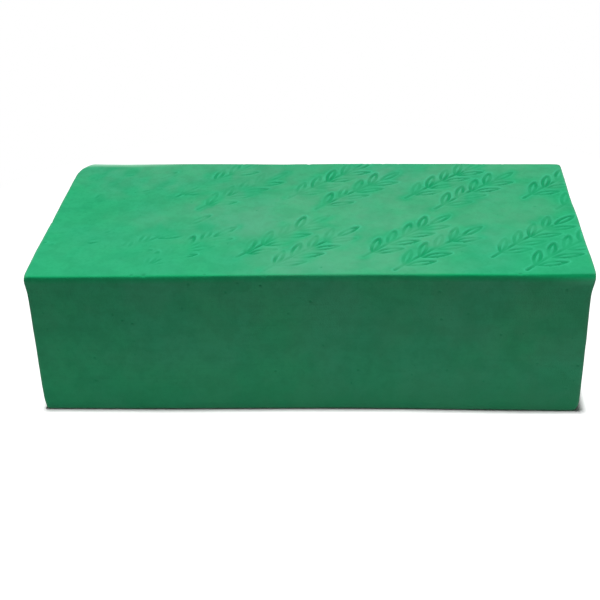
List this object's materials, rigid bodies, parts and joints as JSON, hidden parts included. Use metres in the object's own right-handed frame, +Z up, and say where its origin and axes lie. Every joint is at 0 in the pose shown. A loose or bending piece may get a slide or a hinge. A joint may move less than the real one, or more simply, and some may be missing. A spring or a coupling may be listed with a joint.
{
  "type": "floral foam brick",
  "caption": "Rectangular block of green water-holding foam that florists cut to size, soak and push stems into, with a leafy pattern pressed into its top.",
  "frame": {"origin": "centre of the base rectangle, on the surface that the brick stands on", "axes": "+X along the length to the right, +Y from the front face to the back face, +Z up through the height, out of the face with the pressed pattern"},
  "size_m": [0.23, 0.108, 0.066],
  "materials": {
    "green_foam": "matte"
  },
  "bodies": {
    "root": {"foam_brick": "green_foam"}
  },
  "joints": []
}
